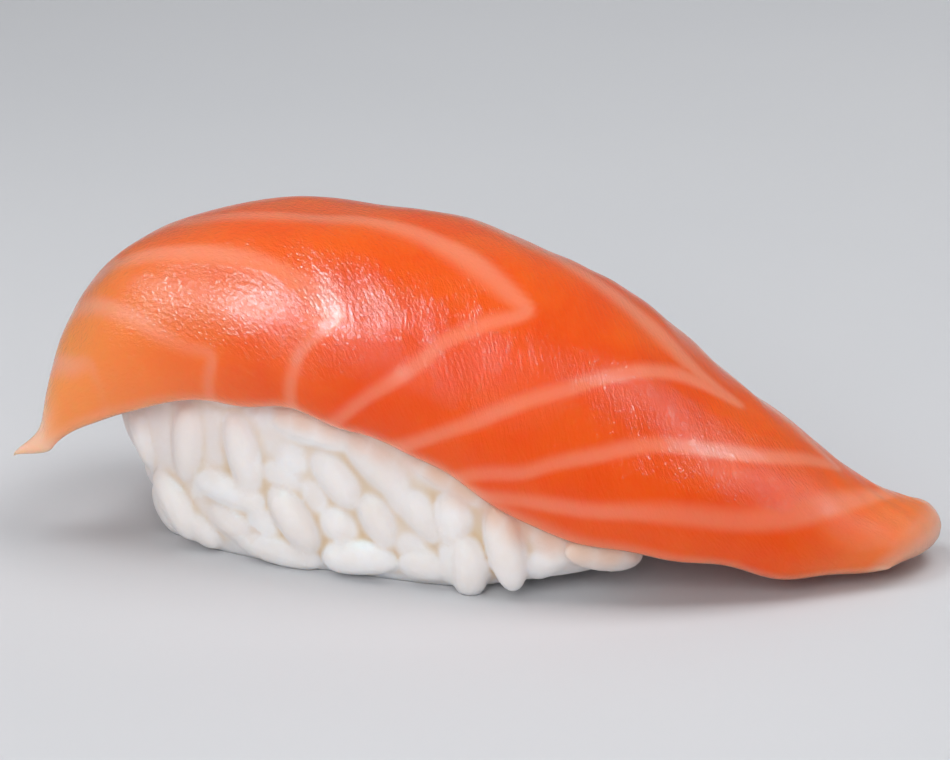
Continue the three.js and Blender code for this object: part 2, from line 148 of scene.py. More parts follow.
# Fat lines from the near edge to their apex and on over the crest: place along the slice, place
# across it, width in mm and strength. Their apexes point at the cut tail.
FAT_LINES = [
    [(0.16, -1.0, 1.2, 0.1), (0.158, -0.85, 1.2, 0.15), (0.15, -0.775, 1.5, 0.4),
     (0.115, -0.72, 2.0, 0.9), (0.06, -0.615, 2.3, 1.0), (0.0, -0.5, 2.3, 1.0)],
    [(0.302, -1.0, 1.2, 0.6), (0.306, -0.9, 1.3, 0.6), (0.312, -0.79, 1.4, 0.7),
     (0.276, -0.745, 1.5, 0.5), (0.242, -0.69, 1.5, 0.7), (0.204, -0.607, 1.6, 0.9),
     (0.155, -0.515, 1.8, 1.0), (0.08, -0.38, 2.0, 0.9), (0.0, -0.22, 2.1, 0.8)],
    [(0.401, -1.0, 1.3, 0.7), (0.402, -0.91, 1.3, 0.8), (0.405, -0.81, 1.3, 0.9),
     (0.41, -0.72, 1.3, 0.9), (0.428, -0.63, 1.4, 0.9), (0.438, -0.56, 1.7, 1.0),
     (0.414, -0.503, 2.1, 0.9), (0.376, -0.443, 2.4, 0.9), (0.334, -0.391, 2.5, 0.9),
     (0.283, -0.352, 2.5, 1.0), (0.227, -0.325, 2.4, 1.0), (0.159, -0.283, 2.3, 0.8),
     (0.08, -0.18, 2.3, 0.6), (0.0, -0.02, 2.3, 0.5)],
    [(0.44, -1.0, 1.4, 0.7), (0.461, -0.92, 1.4, 0.8), (0.486, -0.824, 1.4, 0.9),
     (0.513, -0.72, 1.5, 1.0), (0.534, -0.611, 1.6, 1.0), (0.541, -0.559, 1.6, 1.0),
     (0.567, -0.439, 1.7, 1.0), (0.595, -0.283, 1.8, 1.0), (0.571, -0.24, 2.6, 1.0),
     (0.541, -0.19, 3.1, 1.0), (0.514, -0.142, 3.1, 1.0), (0.479, -0.102, 3.0, 0.9),
     (0.43, -0.086, 2.7, 0.8), (0.353, -0.105, 2.5, 0.7), (0.251, -0.1, 2.3, 0.7),
     (0.12, 0.06, 2.3, 0.6), (0.0, 0.25, 2.3, 0.5)],
    [(0.515, -1.0, 1.4, 0.8), (0.535, -0.94, 1.4, 0.9), (0.565, -0.848, 1.4, 0.9),
     (0.591, -0.756, 1.5, 1.0), (0.625, -0.615, 1.5, 1.0), (0.657, -0.487, 1.5, 1.0),
     (0.677, -0.387, 1.5, 1.0), (0.701, -0.263, 1.6, 1.0), (0.735, -0.106, 1.9, 1.0),
     (0.774, -0.006, 1.6, 0.9), (0.735, -0.02, 2.6, 1.0), (0.702, 0.02, 3.1, 1.0),
     (0.664, 0.065, 3.1, 1.0), (0.597, 0.11, 2.9, 0.9), (0.497, 0.19, 2.7, 0.8), (0.36, 0.33, 2.5, 0.7),
     (0.2, 0.52, 2.0, 0.7), (0.06, 0.7, 2.0, 0.6), (0.0, 0.8, 2.0, 0.5)],
    [(0.585, -1.0, 1.3, 0.7), (0.601, -0.932, 1.3, 0.8), (0.617, -0.884, 1.4, 0.8),
     (0.651, -0.81, 1.4, 0.9), (0.669, -0.747, 1.4, 0.9), (0.703, -0.647, 1.5, 1.0),
     (0.735, -0.527, 1.5, 1.0), (0.783, -0.383, 1.6, 1.0), (0.821, -0.24, 1.6, 1.0),
     (0.855, 0.0, 1.6, 0.9), (0.872, 0.14, 1.4, 0.9), (0.83, 0.21, 1.6, 1.0), (0.76, 0.29, 1.7, 1.0),
     (0.66, 0.4, 1.8, 0.9), (0.54, 0.53, 1.8, 0.9), (0.42, 0.68, 1.8, 0.8), (0.3, 0.87, 1.8, 0.7),
     (0.24, 1.0, 1.8, 0.6)],
    [(0.6, -1.0, 1.4, 0.6), (0.636, -0.94, 1.4, 0.8), (0.681, -0.892, 1.5, 0.9),
     (0.723, -0.848, 1.6, 0.9), (0.774, -0.776, 2.0, 0.8), (0.825, -0.7, 2.2, 0.8),
     (0.861, -0.58, 2.4, 0.8), (0.891, -0.335, 2.4, 0.8), (0.92, -0.05, 1.9, 0.8),
     (0.935, 0.2, 1.6, 0.8), (0.93, 0.45, 1.5, 0.8), (0.88, 0.58, 1.6, 0.8), (0.78, 0.7, 1.7, 0.8),
     (0.66, 0.83, 1.8, 0.8), (0.54, 1.0, 1.8, 0.7)],
]
FAT_STEP = 0.3  # mm between the samples of a fat line
FIBRE_SLOPE = [(0, 0.1), (0.25, 0.2), (0.42, 0.7), (0.6, 1.1), (1, 0.9)]  # of the muscle fibres
FAT_INNER = 0.6  # share of the width on the thin end's side, where the line fades softly
FAT_OUTER = 0.38  # share of the width on the tail's side
FAT_FADE = (0.2, 1.5)  # as shares of those, where the fade starts and ends
FAT_RISE = 0.02  # mm
BAND_BULGE = 0.06  # mm that the flesh between two fat lines rises
BAND_WIDTH = 8.0  # mm, for the bands that one line only bounds
FIBRE_RELIEF = 0.05  # mm that bundles of fibres rise
FIBRE_WIDTH = 1.6  # mm
FIBRE_STRETCH = 0.25  # width of a bundle as a share of its length
UNEVENNESS = {"height": 0.16, "width": 7.0}  # mm, of the top face
UNDERSIDE_UNEVENNESS = {"height": 0.12, "width": 6.0}
EDGE_WAVES = {"height": 0.1, "more": 0.2, "more_from": (0.1, 0.35), "width": 4.5}  # mm

# Places across and along the slice: past them the relief of the top face fades out. The waves of
# the side edges start at their place across, and fade out past the other two.
RELIEF_LIMITS = {"side": 0.8, "thin_end": 0.13, "cut_end": 0.96}
WAVE_LIMITS = {"side": 0.7, "thin_end": 0.1, "cut_end": 0.95}

# Places along and across the slice between which the flesh turns thin, and between which the painted sheen
# and glow of light through its thin edges grows
THIN_END_TINT = {"along": (0.46, 0.0), "across": (0.1, -0.8)}
THIN_TAIL_TINT = {"along": (0.86, 0.98), "strength": 0.45}
SIDE_SHEEN = {"across": (0.93, 1.0), "strength": 0.3}
THIN_END_SHEEN = {"along": (0.06, 0), "strength": 0.55}
CUT_END_SHEEN = {"along": (0.965, 1.0), "strength": 0.55}
TIP_SHEEN = {"along": (0.1, 0.03), "across": (-0.66, -0.92)}

MEAN_FIBRE_HEIGHT = 0.75  # of the noise that makes the muscle fibres' fine relief
FAT_FIBRES = 0.5  # share of that relief that is left on the smooth fat

# ---- The rice, as in the CAD part ----

RICE_CENTRE = (-3.2, -0.1)
RICE_SQUARENESS = 0.58
RICE_TAIL_END = {
    "reach": 22.5, "foot_inset": 11, "foot_rise": 6, "foot_power": 3, "top_inset": 8, "top_rise": 12,
}
RICE_THIN_END = {
    "reach": 28.6, "foot_inset": 3.9, "foot_rise": 11.5, "foot_power": 1.3, "top_inset": 6, "top_rise": 10,
}
RICE_SIDE = {
    "reach": 13.8, "foot_inset": 0.5, "foot_rise": 4, "foot_power": 2, "top_inset": 4, "top_rise": 12,
}
RICE_TOP = 22
RICE_RINGS = 12
RICE_RING_POINTS = 44
PRESS = 0.3  # mm that a grain may press into the slice
NEAR_PRESS = 0.8  # the same for a grain that stands out on the near side
GRAIN = {"length": 7.2, "width": 3.1, "thickness": 2.6}
GRAIN_HEIGHTS = (0.8, 16)  # mm, lowest and highest middle of a scattered grain
LEAST_SIZE = 0.9  # of a scattered grain, as a share of the usual size
SIZE_RANGE = 0.2
DEPTH_RANGE = 0.4  # mm between the shallowest and the deepest grain of a round
NEAR_SIDE_END = 0.995  # share of the block's reach up to which its near side counts
PROBES = ((-0.4, 0.4), (0, 0.5), (0.4, 0.4))  # place along a grain and radius there, as shares
MOVE_STEPS = 6  # tries at moving a grain out of the slice
LEAST_LENGTH = 0.7  # share of its length that a shortened grain keeps

# Grains that stand out on the near side: middle along X, height, slope down towards +X in
# degrees, length and depth in mm.
NEAR_GRAINS = [
    (-28.5, 9.0, 77, 7.0, 0.0), (-30.6, 9.6, 80, 6.5, -0.2), (-22.5, 9.8, 96, 7.0, -0.1),
    (-25.6, 8.5, 76, 6.0, 1.0), (-26.0, 6.2, 20, 4.5, 0.8), (-24.2, 3.7, 52, 7.0, -0.5),
    (-22.4, 2.0, 25, 6.0, 0.1), (-19.4, 9.3, 60, 6.0, 0.8), (-16.6, 9.7, 74, 7.5, -0.2),
    (-18.0, 6.2, 10, 8.0, 0.1), (-18.0, 3.2, 25, 6.0, 0.3), (-14.8, 4.1, 28, 5.0, 0.4),
    (-13.6, 1.3, 7, 8.5, 0.1), (-11.7, 4.7, 55, 6.5, -0.4), (-12.7, 8.2, 22, 5.5, 0.4),
    (-12.0, 9.8, 14, 4.5, 0.5), (-10.0, 12.9, 12, 9.0, 0.1), (-7.7, 8.7, 47, 6.5, 0.0),
    (-9.9, 7.0, 56, 5.0, 0.5), (-7.4, 4.5, 43, 5.0, 0.2), (-5.7, 1.8, -5, 7.0, -0.4),
    (-4.0, 5.5, 62, 6.0, 0.1), (-4.0, 10.1, 43, 8.0, 0.1), (-2.4, 8.6, 63, 7.5, 0.3),
    (-4.0, 13.4, 27, 6.0, 0.4), (2.8, 9.9, 22, 8.0, 0.1), (0.1, 6.5, 48, 6.5, 0.1),
    (-1.0, 3.6, 4, 5.5, 0.6), (0.2, 1.9, -3, 5.0, 0.1), (2.9, 6.5, 88, 5.5, -0.2),
    (2.8, 2.7, 89, 5.0, 0.2), (4.2, 2.3, 86, 6.0, -0.4), (4.9, 6.2, 86, 5.0, 1.0),
    (7.6, 4.5, 77, 7.8, -0.5), (11.0, 4.9, 19, 4.5, 0.8), (10.9, 2.6, -29, 5.0, 0.5),
    (15.8, 3.7, 13, 7.5, -0.3),
]

# Rounds of scattered grains: tries, least distance between axes in mm, share of a grain's length
# and least depth in mm. The far side and the ends come first, spread evenly at the far level.
FAR_SCATTER = [(600, 2.5, 1.0, -0.4), (600, 2.3, 0.85, -0.35), (900, 2.0, 0.65, -0.2)]
SCATTER = [(1500, 3.0, 1.0, 0.0), (1500, 2.7, 0.85, 0.15), (2000, 2.4, 0.6, 0.4)]
FAR_ANGLES = (0.15, math.pi + 0.25)
FAR_LEVEL = 5.0  # mm
FAR_SEED = 21  # of the random draws
SCATTER_SEED = 7
SHAPE_SEED = 11
SLOPE_TRIES = 6
AXIS_SHARES = (-0.36, -0.18, 0.0, 0.18, 0.36)  # of a grain's length, where its axis is sampled
FILL_INSET = 0.85  # mm from the outline to the starch that fills the gaps between the grains
FILL_FOOT = {"inset": 0.6, "rise": 3.0}  # mm further in at the foot, and the height where that ends
CORE_CLEARANCE = 0.2  # mm below the slice
PLUMPNESS = 1.1  # share of the usual width
BLUNTNESS = 2.2  # power of a grain's profile, 2 for an ellipse
TAPER = 0.1  # most that one end is thicker than the other, as a share
BEND = (0.1, 0.5)  # mm, least and most
SAG = (-0.25, 0.1)  # mm, the bend into the heap
BEND_MIDDLE = 0.4  # what keeps a bent grain's middle in its place
GRAIN_RINGS = 13
GRAIN_SIDES = 12
HEAP_VOXEL = 0.27  # mm
HEAP_SMOOTHING = 3  # rounds
GAP_STEPS = 30  # of smoothing, which the gaps are measured against
GAP_FILL = 0.42  # share of a gap's depth that sticky starch fills
# GAP_DEPTH also sets where the painted shade in the gaps starts and where it is full
GAP_DEPTH = (0.05, 0.45)  # mm, of the slightest gap and of a full one
# mm from the slice over which the painted shade and bounce light of the slice fade on the rice
SLICE_SHADE_REACH = (3.0, 0.5)  # mm from the slice over which the rice gets warmer


# ---- Curves, steps and random draws ----


def smooth_curve(points):
    """Smooth function through (place, value) points: cubic pieces with shared slopes."""
    places, values = np.array(points, float).T
    span = np.diff(places)
    rise = np.diff(values) / span
    inner = (rise[:-1] * span[1:] + rise[1:] * span[:-1]) / (span[:-1] + span[1:])
    slopes = np.concatenate([rise[:1], inner, rise[-1:]])

    def value(place):
        x = np.clip(place, places[0], places[-1])
        i = np.clip(np.searchsorted(places, x, side="right") - 1, 0, len(places) - 2)
        t = (x - places[i]) / span[i]
        t2 = t * t
        t3 = t2 * t
        return (
            (2 * t3 - 3 * t2 + 1) * values[i]
            + (t3 - 2 * t2 + t) * span[i] * slopes[i]
            + (3 * t2 - 2 * t3) * values[i + 1]
            + (t3 - t2) * span[i] * slopes[i + 1]
        )

    return value


def smooth_step(start, end, x):
    """0 at `start`, 1 at `end`, smooth between them, whichever of the two is larger."""
    t = np.clip((x - start) / (end - start), 0, 1)
    return t * t * (3 - 2 * t)


def rounded(x, power):
    """Height of a rounded edge: 1 inside it, falling to 0 where x reaches 1."""
    return np.sqrt(1 - np.clip(x, 0, 1) ** power)


def random_draws(seed):
    """The same draws on every run, as in the CAD part: numbers from 0 to 1."""
    state = seed
    while True:
        state = (state * 1664525 + 1013904223) % 4294967296
        yield state / 4294967296


def soft_noise(points, size, seed):
    """Smooth unevenness, mostly from -1 to 1, with features of `size` mm: a sum of random waves."""
    waves = 16
    frequencies = (0.6, 1.5)
    spread = 1.3  # keeps the sums mostly from -1 to 1
    random = np.random.default_rng(seed)
    direction = random.normal(size=(waves, 3))
    direction /= np.linalg.norm(direction, axis=1, keepdims=True)
    frequency = math.pi / size * random.uniform(*frequencies, (waves, 1))
    phase = random.uniform(0, 2 * math.pi, waves)
    return np.sin(points @ (direction * frequency).T + phase).sum(-1) / math.sqrt(waves * spread)


# ---- The slice's surface ----

line = {name: smooth_curve(points) for name, points in SLICE_LINES.items()}
tail_shortfall = smooth_curve(TAIL_SHORTFALL)


def middle_point(s, v):
    """Points of the middle surface at place s along the slice and v across it, -1 near to 1 far."""
    near = v < 0
    reach = np.where(near, line["near_reach"](s), line["far_reach"](s))
    drop = np.where(near, line["near_drop"](s), line["far_drop"](s))
    edge_angle = np.radians(line["drape"](s))
    angle = np.abs(v) * edge_angle
    fall = drop * (1 - np.cos(angle)) / (1 - np.cos(edge_angle))
    lean = np.radians(line["lean"](s))
    tail = np.clip((s - TAIL_START) / (1 - TAIL_START), 0, 1) ** 2
    x = line["crest_x"](s) + fall * np.sin(lean) - tail * tail_shortfall(v)
    y = line["crest_y"](s) + np.sign(v) * reach * np.sin(angle) / np.sin(edge_angle)
    z = line["crest_z"](s) - fall * np.cos(lean)
    for bend in (FLAP, FLAP_TIP):
        share = smooth_step(bend["end"], 0, s) * smooth_step(bend["inner"], -1, v)
        x = x - bend["out"] * share
        y = y - bend["forward"] * share
        z = z - bend["down"] * share
    return np.stack([x, y, z], -1)


def middle_normal(s, v):
    """Unit normals of the middle surface, pointing away from the rice."""
    step = 1e-3
    along = middle_point(np.minimum(s + step, 1), v) - middle_point(np.maximum(s - step, 0), v)
    across = middle_point(s, np.minimum(v + step, 1)) - middle_point(s, np.maximum(v - step, -1))
    normal = np.cross(along, across)
    return normal / np.linalg.norm(normal, axis=-1, keepdims=True)


def fibre_across(s, v):
    """Place across the muscle fibres, in mm: they run from the thin end towards the near edge."""
    slope = smooth_curve(FIBRE_SLOPE)
    steps = 400
    places = np.linspace(0, 1, steps + 1)
    rise = np.concatenate([[0], np.cumsum(slope(places[1:]))]) / steps
    return SLICE_SPAN[1] * v + SLICE_SPAN[0] * np.interp(s, places, rise)


def thickness_at(s, v):
    return (
        line["thickness"](s)
        * rounded(np.abs(v), SIDE_ROUNDING)
        * rounded((THIN_END_SHARE - s) / THIN_END_SHARE, END_ROUNDING)
        * rounded((s - 1 + CUT_END_SHARE) / CUT_END_SHARE, END_ROUNDING)
    )


def slice_grid(rows, columns):
    """Places along and across the slice, closer together towards its edges."""
    u = np.linspace(0, 1, rows + 1)
    w = np.linspace(-1, 1, columns + 1)
    along = u - END_CROWDING * np.sin(2 * np.pi * u) / (2 * np.pi)
    across = SIDE_CROWDING * np.sin(w * np.pi / 2) + (1 - SIDE_CROWDING) * w
    return np.meshgrid(along, across, indexing="ij")


def evened_grid(points, share):
    """Points of the slice's grid moved towards their neighbours' mean, most where `share` is 1."""
    shape = (SLICE_ROWS + 1, SLICE_COLUMNS + 1)
    grid = points.reshape(*shape, 3).copy()
    share = share.reshape(*shape, 1)[1:-1, 1:-1]
    for _ in range(EVEN_STEPS):
        mean = (grid[2:, 1:-1] + grid[:-2, 1:-1] + grid[1:-1, 2:] + grid[1:-1, :-2]) / 4
        grid[1:-1, 1:-1] += share * (mean - grid[1:-1, 1:-1])
    return grid.reshape(-1, 3)


# ---- Meshes ----


def mesh_object(name, points, faces):
    """A smooth-shaded mesh object from points in mm."""
    mesh = bpy.data.meshes.new(name)
    mesh.from_pydata((np.asarray(points) * MM).tolist(), [], faces)
    mesh.polygons.foreach_set("use_smooth", [True] * len(mesh.polygons))
    mesh.update()
    piece = bpy.data.objects.new(name, mesh)
    bpy.context.scene.collection.objects.link(piece)
    return piece


def add_attribute(piece, name, values):
    attribute = piece.data.attributes.new(name, "FLOAT", "POINT")
    attribute.data.foreach_set("value", np.asarray(values, np.float32))


def grid_faces(rows, columns):
    """Quads of a grid of (rows + 1) x (columns + 1) points."""
    i, j = np.meshgrid(np.arange(rows), np.arange(columns), indexing="ij")
    corner = (i * (columns + 1) + j).ravel()
    return np.stack([corner, corner + columns + 1, corner + columns + 2, corner + 1], -1)


# ---- Materials ----


def linear(color):
    """A linear colour from display values of 0 to 255."""

    def channel(value):
        share = value / 255
        return share / 12.92 if share <= 0.04045 else ((share + 0.055) / 1.055) ** 2.4

    return (*(channel(value) for value in color), 1.0)


class Shader:
    """A material's node tree, with short ways to add and join nodes."""

    def __init__(self, name):
        self.material = bpy.data.materials.new(name)
        self.material.use_nodes = True
        self.tree = self.material.node_tree
        self.surface = self.tree.nodes["Principled BSDF"]

    def put(self, socket, value):
        if isinstance(value, bpy.types.NodeSocket):
            self.tree.links.new(value, socket)
        else:
            socket.default_value = value

    def node(self, kind, inputs, **settings):
        node = self.tree.nodes.new(kind)
        for name, value in settings.items():
            setattr(node, name, value)
        for name, value in inputs.items():
            self.put(node.inputs[name], value)
        return node

    def attribute(self, name):
        return self.node("ShaderNodeAttribute", {}, attribute_name=name).outputs["Fac"]

    def millimetres(self):
        """The point's place in mm."""
        place = self.node("ShaderNodeTexCoord", {}).outputs["Object"]
        return self.node("ShaderNodeVectorMath", {0: place, 3: 1 / MM}, operation="SCALE").outputs[0]

    def math(self, operation, first, second=0.0):
        return self.node("ShaderNodeMath", {0: first, 1: second}, operation=operation).outputs[0]

    def mix(self, share, first, second):
        return self.node("ShaderNodeMix", {0: share, 6: first, 7: second}, data_type="RGBA").outputs[2]

    def remap(self, value, low, high, new_low, new_high):
        inputs = {0: value, 1: low, 2: high, 3: new_low, 4: new_high}
        return self.node("ShaderNodeMapRange", inputs).outputs[0]

    def noise(self, place, scale, detail=2.0, distortion=0.0):
        inputs = {"Vector": place, "Scale": scale, "Detail": detail, "Distortion": distortion}
        return self.node("ShaderNodeTexNoise", inputs).outputs["Fac"]

    def vector(self, x, y, z=0.0):
        return self.node("ShaderNodeCombineXYZ", {"X": x, "Y": y, "Z": z}).outputs[0]

    def bump(self, height, distance):
        """Relief of `distance` mm."""
        inputs = {"Height": height, "Distance": distance * MM, "Strength": 1.0}
        return self.node("ShaderNodeBump", inputs).outputs[0]

    def finish(self, **values):
        for name, value in values.items():
            self.put(self.surface.inputs[name.replace("_", " ")], value)
        return self.material


def salmon_material():
    """Wet raw salmon: orange flesh with pale fat lines and fine fibres, paler where it is thin, partly
    from painted glow of light through it, and with painted sheen and glow of light on its thin edges.
    """
    shader = Shader("raw_salmon")
    color = {name: linear(values) for name, values in SALMON_COLORS.items()}
    place = shader.millimetres()

    # Fine muscle fibres, drawn out along the slice and slightly wavy
    across = shader.attribute("across")
    along = shader.attribute("along")
    warp = shader.noise(place, 0.5, 2.0)
    waved = shader.math("ADD", across, shader.math("MULTIPLY", warp, 0.6))
    fibre_place = shader.vector(
        shader.math("MULTIPLY", waved, 3.4),
        shader.math("MULTIPLY", along, 1.5),
        shader.math("MULTIPLY", warp, 3.0),
    )
    fibres = shader.noise(fibre_place, 1.0, 2.0, 0.4)
    fine = shader.noise(place, 4.0, 2.0)

    # Uneven flesh, paler where it is thin, partly as painted glow of light through it, then the fat lines,
    # then the painted sheen and glow of the thin edges over it
    blotches = shader.noise(place, 0.14, 3.0, 0.6)
    blotchy = shader.remap(blotches, 0.35, 0.65, 0.0, 1.0)
    flesh = shader.mix(blotchy, color["flesh"], color["lighter_flesh"])
    flesh = shader.mix(shader.remap(fibres, 0.4, 0.8, 0.0, 0.15), flesh, color["fibres"])
    # paler where thin: partly the flesh's own tone, partly painted glow of light through the thin flesh
    flesh = shader.mix(shader.attribute("thin"), flesh, color["thin_flesh_glow"])
    fat_share = shader.remap(shader.attribute("thin"), 0.0, 1.0, 0.5, 0.8)
    fat = shader.math("MULTIPLY", shader.attribute("fat"), fat_share)
    lined = shader.mix(fat, flesh, color["fat"])
    # painted sheen and glow of light on the thin edges
    edge_lit = shader.mix(shader.attribute("edge_sheen"), lined, color["painted_edge_sheen"])

    # Relief of the fibres, lower on the fat
    height = shader.math("ADD", fibres, shader.math("MULTIPLY", fine, 0.5))
    height = shader.math("SUBTRACT", height, MEAN_FIBRE_HEIGHT)
    kept = shader.remap(shader.attribute("fat"), 0.0, 1.0, 1.0, FAT_FIBRES)
    height = shader.math("MULTIPLY", height, kept)
    return shader.finish(
        Base_Color=edge_lit,
        Roughness=0.4,
        Specular_IOR_Level=0.05,
        Normal=shader.bump(height, 0.03),
        Subsurface_Weight=1.0,
        Subsurface_Radius=(1.0, 0.3, 0.15),
        Subsurface_Scale=0.9 * MM,
        Coat_Weight=1.0,
        Coat_Roughness=0.12,
        Coat_IOR=1.36,
        Coat_Normal=shader.bump(height, 0.11),
    )


def rice_material():
    """Cooked rice: moist, translucent white, with painted warm shade in the gaps between the grains, and
    painted shade and bounce light from the slice where the rice is near it.
    """
    shader = Shader("cooked_rice")
    color = {name: linear(values) for name, values in RICE_COLORS.items()}
    place = shader.millimetres()
    cloud = shader.noise(place, 0.35, 2.0)
    fine = shader.noise(place, 1.6, 3.0)
    grains = shader.mix(shader.attribute("tone"), color["grain"], color["lighter_grain"])
    grains = shader.mix(shader.remap(cloud, 0.4, 0.7, 0.0, 0.5), grains, color["clouds"])
    # painted shade in the gaps: the deeper the gap, the darker and warmer
    gap_shaded = shader.mix(shader.attribute("gap"), grains, color["gap_shade"])
    # painted shade and bounce light of the slice, where the rice is near it
    bounce_shaded = shader.mix(shader.attribute("under"), gap_shaded, color["slice_bounce_shade"])
    return shader.finish(
        Base_Color=bounce_shaded,
        Roughness=shader.remap(fine, 0.3, 0.7, 0.45, 0.6),
        Normal=shader.bump(fine, 0.08),
        IOR=1.4,
        Subsurface_Weight=1.0,
        Subsurface_Radius=(1.0, 0.9, 0.8),
        Subsurface_Scale=2.0 * MM,
    )


def floor_material():
    """A plain pale studio floor without gloss."""
    shader = Shader("pale_floor")
    cloud = shader.noise(shader.millimetres(), 0.01, 3.0)
    color = shader.mix(cloud, linear(FLOOR_COLORS["darker"]), linear(FLOOR_COLORS["lighter"]))
    return shader.finish(Base_Color=color, Roughness=1.0, Specular_IOR_Level=0.0)


# ---- The slice of salmon ----


def sample_fat_line(points):
    """A fat line as close samples on the slice's top face."""
    knots = np.array(points, float)
    steps = np.linalg.norm(np.diff(knots[:, :2] * SLICE_SPAN, axis=0), axis=1)
    places = np.concatenate([[0], np.cumsum(steps)])
    close = np.linspace(0, places[-1], int(places[-1] / FAT_STEP))
    s, v, width, strength = (smooth_curve(list(zip(places, column)))(close) for column in knots.T)
    s = np.clip(s, 0, 1)
    v = np.clip(v, -1, 1)
    top = middle_point(s, v) + middle_normal(s, v) * thickness_at(s, v)[:, None] / 2
    return {"s": s, "v": v, "top": top, "width": width, "strength": strength}


def inside_fat_line(fat_line, s, v):
    """Whether places lie on the thin end's side of a fat line: a way to the tail crosses it once."""
    inside = np.zeros(len(s), bool)
    corners = list(zip(fat_line["s"], fat_line["v"]))
    for (s0, v0), (s1, v1) in zip(corners, corners[1:]):
        if v0 != v1:
            spans = (v0 > v) != (v1 > v)
            inside ^= spans & (s < s0 + (v - v0) / (v1 - v0) * (s1 - s0))
    return inside


def measure_fat_line(fat_line, s, v, top):
    """Signed distance to a fat line, positive on the tail's side, and the line's strength there."""
    distance = np.empty(len(top))
    nearest = np.empty(len(top), int)
    chunk = 4000
    for start in range(0, len(top), chunk):
        part = slice(start, start + chunk)
        square = ((top[part, None, :] - fat_line["top"][None]) ** 2).sum(-1)
        nearest[part] = square.argmin(1)
        distance[part] = np.sqrt(square.min(1))
    inside = inside_fat_line(fat_line, s, v)
    reach = np.where(inside, FAT_INNER, FAT_OUTER) * fat_line["width"][nearest]
    share = fat_line["strength"][nearest] * (1 - smooth_step(*FAT_FADE, distance / reach))
    return np.where(inside, -distance, distance), share


def fat_fields(s, v, top):
    """Strength of the fat, and how far the flesh bulges between two fat lines, from 0 to 1."""
    measures = [measure_fat_line(sample_fat_line(points), s, v, top) for points in FAT_LINES]
    signed = np.array([measure[0] for measure in measures])
    fat = np.array([measure[1] for measure in measures]).max(0)
    band = (signed > 0).sum(0)
    point = np.arange(len(top))
    before = np.clip(band - 1, 0, None)
    after = np.clip(band, None, len(FAT_LINES) - 1)
    past = np.where(band > 0, np.abs(signed[before, point]), BAND_WIDTH)
    left = np.where(band < len(FAT_LINES), np.abs(signed[after, point]), BAND_WIDTH)
    share = past / (past + left + 1e-9)
    return fat, 4 * share * (1 - share)


def slice_faces(middle, normal, half, s, v):
    """The top and the underside of the slice, with their relief, and the strength of the fat."""
    fat, bulge = fat_fields(s, v, middle + normal * half[:, None])
    inner = (
        smooth_step(1.0, RELIEF_LIMITS["side"], np.abs(v))
        * smooth_step(0, RELIEF_LIMITS["thin_end"], s)
        * smooth_step(1, RELIEF_LIMITS["cut_end"], s)
    )
    relief = BAND_BULGE * (bulge - 0.5) + FAT_RISE * fat
    relief = relief + UNEVENNESS["height"] * soft_noise(middle, UNEVENNESS["width"], 1)
    fibre_places = np.stack([fibre_across(s, v), s * SLICE_SPAN[0] * FIBRE_STRETCH, 0 * s], -1)
    relief = (relief + FIBRE_RELIEF * soft_noise(fibre_places, FIBRE_WIDTH, 2)) * inner
    edge = (
        smooth_step(WAVE_LIMITS["side"], 1.0, np.abs(v))
        * smooth_step(0, WAVE_LIMITS["thin_end"], s)
        * smooth_step(1, WAVE_LIMITS["cut_end"], s)
    )
    across = np.cross(normal, [1.0, 0, 0])
    across /= np.linalg.norm(across, axis=1, keepdims=True)
    waviness = EDGE_WAVES["height"] + EDGE_WAVES["more"] * smooth_step(*EDGE_WAVES["more_from"], s)
    waves = waviness * edge * soft_noise(middle, EDGE_WAVES["width"], 3)
    middle = middle + across * waves[:, None]
    top = middle + normal * (half + relief)[:, None]
    hollows = UNDERSIDE_UNEVENNESS["height"] * soft_noise(middle, UNDERSIDE_UNEVENNESS["width"], 4)
    bottom = middle - normal * (half - hollows * inner)[:, None]
    under_flap = smooth_step(*UNDER_FLAP["along"], s) * smooth_step(*UNDER_FLAP["across"], v)
    return top, evened_grid(bottom, under_flap), fat


def slice_tints(s, v):
    """How thin the flesh looks, partly as painted glow of light through it, and how much painted sheen and
    glow of light the edges get, from 0 to 1: both grow towards the slice's edges.
    """
    # paler towards the thin end and the tail: partly the flesh's own tone, partly painted glow of light
    # through it
    thin = smooth_step(*THIN_END_TINT["along"], s) * smooth_step(*THIN_END_TINT["across"], v)
    thin = thin + THIN_TAIL_TINT["strength"] * smooth_step(*THIN_TAIL_TINT["along"], s)
    sides = SIDE_SHEEN["strength"] * smooth_step(*SIDE_SHEEN["across"], np.abs(v))
    thin_end = THIN_END_SHEEN["strength"] * smooth_step(*THIN_END_SHEEN["along"], s)
    cut_end = CUT_END_SHEEN["strength"] * smooth_step(*CUT_END_SHEEN["along"], s)
    tip = smooth_step(*TIP_SHEEN["along"], s) * smooth_step(*TIP_SHEEN["across"], v)
    # painted sheen and glow of light through the thin edges
    edge_sheen = np.maximum(sides, thin_end) + cut_end + tip
    return np.clip(thin, 0, 1), np.clip(edge_sheen, 0, 1)


